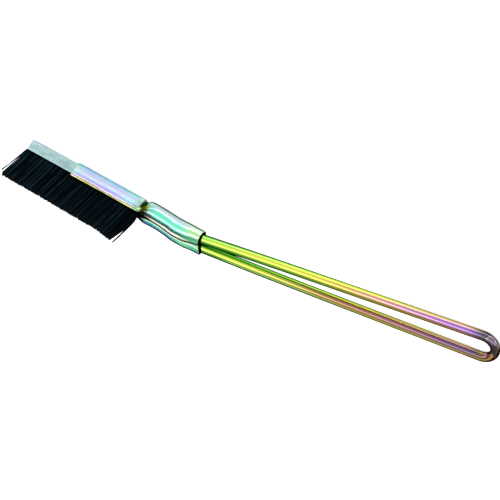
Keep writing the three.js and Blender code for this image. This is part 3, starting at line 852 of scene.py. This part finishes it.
def build_rod():
    leg = []
    for distance, height in ROD_INSIDE:
        share = (distance - ROD_START) / (BODY - ROD_START)
        leg.append((-distance, START_SIDE + (MOUTH_SIDE - START_SIDE) * share, height))
    leg.append(handle_to_head(0, MOUTH_SIDE, 0.0))
    for x, inset in ROD_OUTSIDE:
        leg.append(handle_to_head(x, straight_leg(x) - inset, 0.0))
    leg = catmull(leg, per_span=14)
    steps = 72
    start, end = math.pi / 2 - LEG_TILT, 3 * math.pi / 2 + LEG_TILT
    loop = []
    for i in range(steps + 1):
        angle = start + (end - start) * i / steps
        loop.append(handle_to_head(-HANDLE_LENGTH + LOOP_RADIUS * math.cos(angle),
                                   LOOP_RADIUS * math.sin(angle), 0.0))
    path = head_to_world(np.vstack([leg, loop, (leg * [1, -1, 1])[::-1]]))
    verts, faces = tube(path, ROD_RADIUS / MM, sides=40, up=HANDLE_Z)
    from_mouth = verts * MM - MOUTH
    along = -(from_mouth @ HANDLE_X)
    past_rim = along + mouth_shift(from_mouth[:, 1], from_mouth @ HANDLE_Z + MOUTH_HEIGHT)
    place("handle_rod", verts, faces,
          {"past_rim": past_rim, "along": along, "leg": unit(verts[:, 1] * MM / 3.0)},
          sharp=50, rides="holder", slot="plated_rod")


# ---------------------------------------------------------------- strip channel and core wire
STRIP_REAR, STRIP_FRONT = 1.9, 80.0            # along the head
CHANNEL_HALF, CHANNEL_WALL = 2.35, 0.75
CHANNEL_BACK, CHANNEL_EDGE = -5.05, 3.4        # heights
CORE_RADIUS, CORE_HEIGHT = 0.6, -2.7
DENT_PITCH, DENT_DEPTH = 1.85, 0.13


def channel_half():
    """Outer line from the back centre to the edge, inner line back to the centre."""
    wide, inside, back, top = CHANNEL_HALF, CHANNEL_HALF - CHANNEL_WALL, CHANNEL_BACK, CHANNEL_EDGE
    step = CORE_HEIGHT_FROM_BACK = back + 2.7
    radius = 0.55
    outer = [(0.0, back), (wide - radius, back)]
    outer += [(wide - radius + radius * math.sin(t), back + radius - radius * math.cos(t))
              for t in np.linspace(0, math.pi / 2, 6)[1:]]
    outer += [(wide, back + 1.3), (wide, step - 0.35), (wide - 0.03, step - 0.1),
              (wide - 0.22, step + 0.06), (wide - 0.24, step + 0.3)]
    outer += [(wide - 0.16, z) for z in np.linspace(step + 0.7, top - 0.5, 16)]
    outer += [(wide - 0.18, top - 0.2), (wide - 0.30, top - 0.03), (wide - 0.45, top)]
    inner = [(inside + 0.10, top), (inside - 0.06, top - 0.06), (inside - 0.12, top - 0.25)]
    inner += [(inside - 0.12, z) for z in np.linspace(top - 1.0, step + 0.4, 5)]
    inner += [(inside, step), (inside, back + CHANNEL_WALL + 0.3),
              (inside - 0.3, back + CHANNEL_WALL), (0.0, back + CHANNEL_WALL)]
    return np.array(outer), np.array(inner)


def bridge(outer, inner):
    """Triangles between two lines of indices, both from the centre to the edge."""
    triangles = []
    i = j = 0
    while i < len(outer) - 1 or j < len(inner) - 1:
        next_outer = (i + 1) / (len(outer) - 1) if i < len(outer) - 1 else 2
        next_inner = (j + 1) / (len(inner) - 1) if j < len(inner) - 1 else 2
        if next_outer <= next_inner:
            triangles.append((outer[i], outer[i + 1], inner[j]))
            i += 1
        else:
            triangles.append((outer[i], inner[j + 1], inner[j]))
            j += 1
    return triangles


def channel_end(base, outer_count, inner_count, ring, front):
    centre = outer_count + inner_count - 1     # the inner line's point at the back centre
    near = bridge(list(range(outer_count)), [centre - k for k in range(inner_count)])
    mirrored = bridge([0] + [ring - k for k in range(1, outer_count)],
                      [centre + k for k in range(inner_count)])
    triangles = near + [tuple(reversed(t)) for t in mirrored]
    triangles = [tuple(base + index for index in t) for t in triangles]
    return [tuple(reversed(t)) for t in triangles] if front else triangles


def build_channel():
    outer, inner = channel_half()
    outline = np.vstack([outer, inner, (inner[:-1] * [-1, 1])[::-1], (outer[1:] * [-1, 1])[::-1]])
    ring = len(outline)
    stations = [STRIP_REAR, STRIP_REAR + 0.06]
    stations += list(np.arange(STRIP_REAR + 0.25, STRIP_FRONT - 0.2, 0.22))
    stations += [STRIP_FRONT - 0.06, STRIP_FRONT]
    last = len(stations) - 1
    is_outer = np.zeros(ring, bool)
    is_outer[:len(outer)] = True
    is_outer[ring - (len(outer) - 1):] = True
    dent_shift = rng.normal(0, 0.07, 60)
    dent_gain = 1 + rng.normal(0, 0.18, 60)
    front_reach, front_lean = 8.0, 0.17
    verts, dents = [], []
    for i, along in enumerate(stations):
        side, height = outline[:, 0].copy(), outline[:, 1].copy()
        # a row of dents pressed into the walls
        k = int((along - STRIP_REAR) / DENT_PITCH)
        centre = STRIP_REAR + (k + 0.5) * DENT_PITCH + dent_shift[k % 60]
        window = unit((height + 1.35) / 0.8) * unit((2.75 - height) / 0.7)
        dent = (np.exp(-(((along - centre + 0.07 * height) / 0.24) ** 2))
                * window * is_outer * (np.abs(side) > 1.6) * dent_gain[k % 60])
        side -= np.sign(side) * DENT_DEPTH * dent
        # slight waviness, and softened ends
        wave = 0.025 * math.sin(along * 0.41) + 0.015 * math.sin(along * 1.13 + 1.0)
        side += wave * is_outer * (np.abs(side) > 1.6)
        shrink = 0.05 if i in (0, last) else 0.0
        side -= np.sign(side) * shrink * is_outer
        raised = height + shrink * (height < CHANNEL_BACK + 0.1)
        near_front = unit((along - STRIP_FRONT + front_reach) / front_reach)
        leaning = along - front_lean * height * near_front
        verts.append(head_to_world(np.stack([leaning, side, raised], 1)))
        dents.append(dent)
    verts = np.vstack(verts)
    counts = (len(outer), len(inner), ring)
    ends = channel_end(0, *counts, front=False) + channel_end(last * ring, *counts, front=True)
    faces = turned_out(verts, ring_quads(len(stations), ring), ends)
    place("strip_channel", verts, faces, {"dent": unit(np.concatenate(dents))},
          sharp=45, rides="strip", slot="zinc_strip")


def build_core():
    along = np.concatenate([[STRIP_REAR + 0.1],
                            np.linspace(STRIP_REAR + 0.3, STRIP_FRONT - 0.3, 60),
                            [STRIP_FRONT - 0.1]])
    path = head_to_world(np.stack([along, 0.02 * np.sin(along * 0.7),
                                   CORE_HEIGHT + 0.02 * np.cos(along * 0.5)], 1))
    radii = np.full(len(along), CORE_RADIUS / MM)
    radii[0] = radii[-1] = CORE_RADIUS * 0.9 / MM
    verts, faces = tube(path, radii, sides=16, up=BRISTLEWARD)
    place("core_wire", verts, faces, {"dent": np.zeros(len(verts))},
          sharp=50, rides="strip", slot="zinc_strip")


# ---------------------------------------------------------------- bristles
TUFTS, FOLDS_PER_TUFT = 26, 8
TIP_FRONT, TIP_REAR = 28.2, 31.6               # heights of the tips
WIRE_RADIUS, INNER_WIRE_RADIUS = 0.19, 0.215
# Offset of the tip height along the row: shares from the rear, offsets
TRIM = ((0.0, 0.03, 0.08, 0.14, 0.28, 0.42, 0.69, 0.79, 0.88, 1.0),
        (0.5, 0.4, -0.4, -1.1, -0.85, -0.6, -0.6, -0.3, 0.0, 0.0))
# Backward sweep of a rear wire: shares of its free length, shares of the sweep
SWEEP = ((0.0, 0.12, 0.26, 0.55, 1.0), (0.0, 0.55, 1.0, 0.84, 0.22))
# Three layers of wires, from the middle of the channel outwards
LAYER_SIDE = (0.24, 0.60, 0.93)
LAYER_FOLD = (0.24, 0.86, 1.24)                # side where the wire passes the core wire
LAYER_SCATTER = (0.012, 0.05, 0.05)            # spread of places along the strip
LAYER_CLUMP = (0.0, 0.20, 0.26)                # lean shared with neighbours
LAYER_LEAN = (0.03, 0.30, 0.36)                # spread of each wire's own lean


def clump(along, seed):
    """Smooth lean shared by neighbouring wires."""
    draws = np.random.default_rng(seed)
    total = 0.0
    for _ in range(9):
        frequency = draws.uniform(0.25, 3.2)
        total += math.sin(along * frequency + draws.uniform(0, 6.28)) / (0.6 + frequency)
    return total / 3.0


def wire_leg(along, layer, tip, lean, drift, bow, sweep, sign):
    """One leg from the core wire to the tip, in the head frame."""
    points = []
    for t in (0.0, 0.20, 0.29, 0.39, 0.58, 0.80, 1.0):
        height = CORE_HEIGHT + (tip - CORE_HEIGHT) * t
        free = max(0.0, (height - CHANNEL_EDGE)) / (tip - CHANNEL_EDGE)
        x = along + lean * free + bow * math.sin(math.pi * free) + sweep * np.interp(free, *SWEEP)
        y = LAYER_SIDE[layer] * sign + drift * free ** 1.3
        if t == 0.0:
            y = LAYER_FOLD[layer] * sign       # clear of the core wire it is folded over
        points.append((x, y, height))
    return points


def random_leg(root, share, layer, sign, pitch, sweep):
    """A leg with its own trim, lean, bow and drift; share is 0 at the rear and 1 in front."""
    tip = (TIP_REAR + (TIP_FRONT - TIP_REAR) * share + np.interp(share, *TRIM)
           + rng.normal(0, 0.13) - abs(rng.normal(0, 0.08)) + 0.15)
    lean = (1.1 * share + 0.2 * (1 - share)
            + LAYER_CLUMP[layer] * clump(root, 11 + layer + (5 if sign > 0 else 0))
            + rng.normal(0, LAYER_LEAN[layer]))
    # a few outer wires stray
    if layer == 2 and rng.random() < 0.14 and 0.08 < share < 0.90:
        lean += rng.choice((-1.0, 1.0)) * rng.uniform(0.6, 1.5)
    bow = rng.normal(0, 0.16 if layer else 0.02)
    # the front edge stays nearly straight
    if share > 0.985:
        lean = 1.55 + rng.normal(0, 0.12)
    drift = rng.normal(0, 0.12) + 0.12 * sign * (layer == 2)
    along = root + (0.25 * sign * pitch if layer == 0 else 0.0)
    return wire_leg(along, layer, tip, lean, drift, bow, sweep, sign)


def wire_paths(root, layer, legs):
    """Inner legs end above the core wire; the others join in a fold round it."""
    if layer == 0:
        return [leg[1:] for leg in legs]
    reach = LAYER_FOLD[layer]
    drop = max(reach, CORE_RADIUS + WIRE_RADIUS) * 0.98
    fold = [(root, reach * math.cos(t), CORE_HEIGHT - drop * math.sin(t))
            for t in np.linspace(0, math.pi, 7)[1:-1]]
    return [[*legs[0][::-1], *fold, *legs[1]]]


def build_bristles():
    first, last = STRIP_REAR + 0.45, STRIP_FRONT - 1.0
    pitch = (last - first) / (TUFTS * FOLDS_PER_TUFT)
    sides = 5
    tip_band = 0.3                             # length of the paler tips
    for tuft in range(TUFTS):
        verts, faces, tones, tips = [], [], [], []
        base = 0
        dense = {0: 3, 1: 2}.get(tuft, 1)      # the rear tufts splay, so they hold more wires
        for j in range(FOLDS_PER_TUFT * dense):
            fold_index = (j + 0.5) / dense - 0.5
            for layer in range(3 if j % dense == 0 else 1):
                root = (first + (tuft * FOLDS_PER_TUFT + fold_index + 0.5 + (0.33 * layer)) * pitch
                        + rng.normal(0, LAYER_SCATTER[layer]))
                root = min(max(root, STRIP_REAR + 0.3), STRIP_FRONT - 0.7)
                share = (root - first) / (last - first)
                tone = rng.random()
                # the rearmost wires splay backwards before they come back to the block
                sweep = -3.7 * math.exp(-max(0.0, root - first) / 2.2)
                legs = [random_leg(root, share, layer, sign, pitch, sweep) for sign in (1, -1)]
                for path in wire_paths(root, layer, legs):
                    path = np.array(path)
                    radius = WIRE_RADIUS if layer else INNER_WIRE_RADIUS
                    wire_verts, wire_faces = tube(head_to_world(path), radius / MM, sides,
                                                  up=TIPWARD, domed=False)
                    verts.append(wire_verts)
                    faces += [tuple(base + index for index in f) for f in wire_faces]
                    tones.append(np.full(len(wire_verts), tone))
                    height = np.repeat(path[:, 2], sides)
                    tips.append(unit((height - (height.max() - tip_band)) / tip_band))
                    base += len(wire_verts)
        place(f"bristle_tuft_{tuft + 1:02d}", np.vstack(verts), faces,
              {"wire": np.concatenate(tones), "tip": np.concatenate(tips)},
              sharp=60, rides="strip", slot="bristle_wire", suffix="wires")


# Single wires at the strip's ends: name, radius, points (along, side, height)
STRAYS = [
    ("stray_wire_front_1", 0.32, [
        (STRIP_FRONT - 0.4, 0.6, -1.4), (STRIP_FRONT + 0.35, 0.6, 4.5),
        (STRIP_FRONT + 1.6, 0.6, 15.0), (STRIP_FRONT + 3.0, 0.75, TIP_FRONT - 3.6)]),
    ("stray_wire_front_2", 0.32, [
        (STRIP_FRONT - 0.4, -0.6, -1.4), (STRIP_FRONT + 0.1, -0.6, 4.5),
        (STRIP_FRONT + 1.1, -0.6, 15.0), (STRIP_FRONT + 2.1, -0.6, TIP_FRONT - 2.2)]),
    ("stray_wire_rear", 0.52, [
        (STRIP_REAR + 0.02, 0, 0.5), (STRIP_REAR - 2.3, 0, 8.5), (STRIP_REAR - 2.9, 0, 14.0),
        (STRIP_REAR - 2.7, 0, 23.0), (STRIP_REAR - 2.3, 0, TIP_REAR + 1.5)]),
]


def build_strays():
    for name, radius, points in STRAYS:
        path = head_to_world(catmull(points, per_span=6))
        verts, faces = tube(path, radius / MM, sides=8, up=TIPWARD)
        place(name, verts, faces,
              {"wire": np.full(len(verts), 0.05), "tip": np.zeros(len(verts))},
              sharp=60, rides="strip", slot="bristle_wire")


# ---------------------------------------------------------------- floor, light, camera
FLOOR_HALF = 9.0                               # metres
FLOOR_GREYS = [(0.3, (0.80, 0.80, 0.80)), (0.7, (0.83, 0.83, 0.83))]   # linear
# Surroundings: (degrees from the -Y horizon over the top, brightness); the 62 to 69 degree
# band is a bright softbox
SKY = [
    (360, 0.9), (216, 0.9), (215, 0.35), (190, 0.55), (176, 1.05), (140, 1.05), (130, 0.55),
    (108, 0.46), (92, 0.60), (84, 1.20), (73, 1.25), (69, 3.9), (62, 3.9), (58, 1.25),
    (49, 1.15), (40, 0.92), (14, 0.92), (4, 1.0), (0, 1.0)]


def floor_material():
    """Pale and faintly glowing, with a bright band for reflections, clear from below."""
    mat = new_material("floor_pale")
    geometry = mat.add("ShaderNodeNewGeometry")
    grain = mat.noise(mat.coords(), scale=30, detail=2, rough=0.5)
    diffuse = mat.add("ShaderNodeBsdfDiffuse", {0: mat.ramp(grain, FLOOR_GREYS)})
    glossy = mat.add("ShaderNodeLightPath").outputs["Is Glossy Ray"]
    incoming = mat.add("ShaderNodeSeparateXYZ", {0: geometry.outputs["Incoming"]})
    dip = mat.scaled(mat.calc("ARCTAN2", incoming.outputs["Z"], incoming.outputs["Y"]),
                     gain=57.2958)             # radians to degrees
    band = mat.times(mat.mask(dip, off=9.0, on=14.0), mat.mask(dip, off=25.0, on=20.0))
    glow = 0.54
    strength = mat.plus(mat.times(glossy, mat.scaled(band, gain=3.0, base=-0.42)), glow)
    emission = mat.add("ShaderNodeEmission", {0: (1, 1, 1, 1), 1: strength})
    lit = mat.add("ShaderNodeAddShader", {0: diffuse.outputs[0], 1: emission.outputs[0]})
    clear = mat.add("ShaderNodeBsdfTransparent")
    mixed = mat.add("ShaderNodeMixShader", {
        0: geometry.outputs["Backfacing"], 1: lit.outputs[0], 2: clear.outputs[0]})
    mat.add("ShaderNodeOutputMaterial", {0: mixed.outputs[0]})
    return mat.owner


def build_floor():
    half = FLOOR_HALF
    mesh = bpy.data.meshes.new("floor")
    mesh.from_pydata([(-half, -half, 0), (half, -half, 0), (half, half, 0), (-half, half, 0)],
                     [], [(0, 1, 2, 3)])
    floor = bpy.data.objects.new("floor", mesh)
    bpy.context.collection.objects.link(floor)
    mesh.materials.append(floor_material())


def build_world():
    """Grey bands round the X axis for light and reflections; plain white to the camera."""
    world = bpy.data.worlds.new("studio")
    bpy.context.scene.world = world
    sky = Nodes(world)
    generated = sky.add("ShaderNodeTexCoord").outputs["Generated"]
    direction = sky.add("ShaderNodeSeparateXYZ", {0: generated})
    angle = sky.calc("ARCTAN2", direction.outputs["Z"], direction.outputs["Y"])
    bands = sky.ramp(sky.remap(angle, source=(-math.pi, math.pi)),
                     [(1.0 - degrees / 360.0, (level,) * 3) for degrees, level in SKY],
                     mode="EASE")
    lighting = sky.add("ShaderNodeBackground", {0: bands, 1: 1.0})
    white = sky.add("ShaderNodeBackground", {0: (1, 1, 1, 1)})
    camera_ray = sky.add("ShaderNodeLightPath").outputs["Is Camera Ray"]
    mixed = sky.add("ShaderNodeMixShader", {
        0: camera_ray, 1: lighting.outputs[0], 2: white.outputs[0]})
    sky.add("ShaderNodeOutputWorld", {0: mixed.outputs[0]})


def area_light(name, direction, distance, size, power):
    """Square light aimed at the middle of the product and left out of reflections."""
    light = bpy.data.lights.new(name, "AREA")
    light.energy = power
    light.size = size
    lamp = bpy.data.objects.new(name, light)
    outward = Vector(direction).normalized()
    low, high = cad_box
    lamp.location = (low + high) / 2 + outward * distance
    lamp.rotation_mode = "QUATERNION"
    lamp.rotation_quaternion = outward.to_track_quat("Z", "Y")
    bpy.context.collection.objects.link(lamp)
    lamp.visible_glossy = False


VIEW_WIDTH = 291.20559                         # mm across the picture
LOOK_RIGHT, LOOK_DOWN = 27.39662, 3.57018      # picture centre from the mouth, mm


def build_camera():
    """Long lens from the -Y side and above."""
    def from_handle(x, y, z):
        return x * HANDLE_X + np.array([0, y, 0]) + z * HANDLE_Z

    camera = bpy.data.cameras.new("camera")
    camera_object = bpy.data.objects.new("camera", camera)
    bpy.context.collection.objects.link(camera_object)
    back = from_handle(x=-0.183, y=-0.717, z=0.672)
    right = from_handle(x=-0.923, y=-0.110, z=-0.368)
    back /= np.linalg.norm(back)
    right -= back * (right @ back)
    right /= np.linalg.norm(right)
    up = np.cross(back, right)
    look = (MOUTH + LOOK_RIGHT * right - LOOK_DOWN * up) / MM
    camera.lens, camera.sensor_width = 1600.0, 36.0
    distance = VIEW_WIDTH / MM * camera.lens / camera.sensor_width
    rotation = Matrix(tuple(zip(right, up, back)))
    position = Vector(look + back * distance)
    camera_object.matrix_world = Matrix.Translation(position) @ rotation.to_4x4()
    camera.clip_start, camera.clip_end = 0.05, 60.0
    bpy.context.scene.camera = camera_object


build_sleeve()
build_rod()
build_channel()
build_core()
build_bristles()
build_strays()

build_floor()
build_world()
area_light("key", direction=(-0.5, -1.0, 1.6), distance=1.6, size=1.2, power=5.0)
area_light("fill", direction=(0.9, -0.3, 0.9), distance=1.8, size=1.0, power=2.0)
build_camera()
bpy.context.scene.view_settings.view_transform = "Standard"
